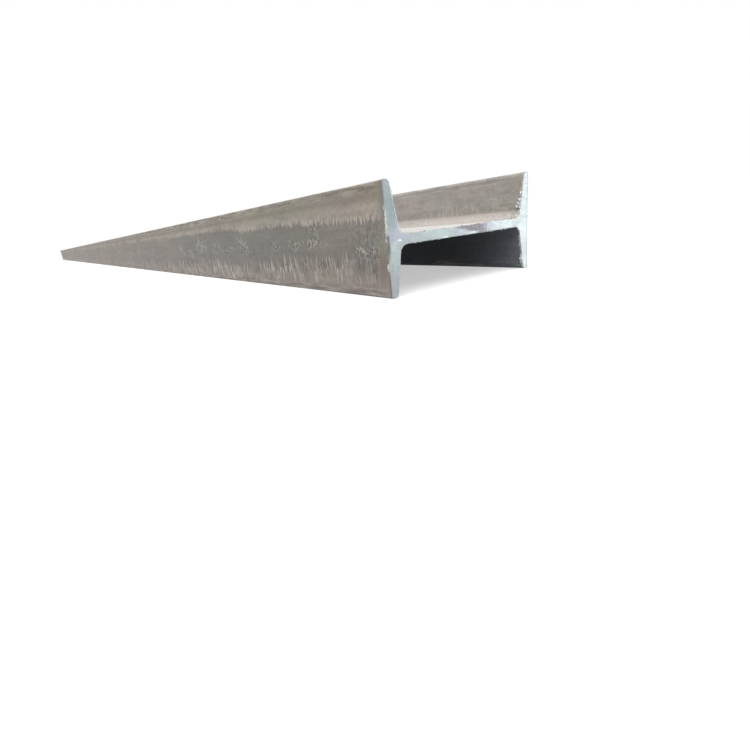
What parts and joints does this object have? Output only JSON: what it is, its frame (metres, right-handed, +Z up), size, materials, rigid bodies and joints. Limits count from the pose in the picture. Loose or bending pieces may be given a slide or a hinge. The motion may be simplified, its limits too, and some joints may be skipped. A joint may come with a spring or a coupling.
{
  "type": "steel i-beam",
  "caption": "Hot-rolled steel I-section bar with tapered flanges, sawn square at both ends, lying on its flange tips; carries loads as a beam, joist or post.",
  "frame": {"origin": "on the ground under the middle of the beam, at the bottom centre of its box", "axes": "+X across the depth of the section from flange to flange, +Y along the beam, +Z up across the width of the flanges"},
  "size_m": [0.2, 6, 0.102],
  "materials": {
    "mill_scale": "hot-rolled mill scale, dull grey-brown with a darker band and short cross streaks along the outer flange faces",
    "sawn_steel": "bare sawn end, pale blue-grey with fine slanting saw marks and a thin burr"
  },
  "bodies": {
    "root": {"i_beam": "mill_scale"}
  },
  "joints": []
}
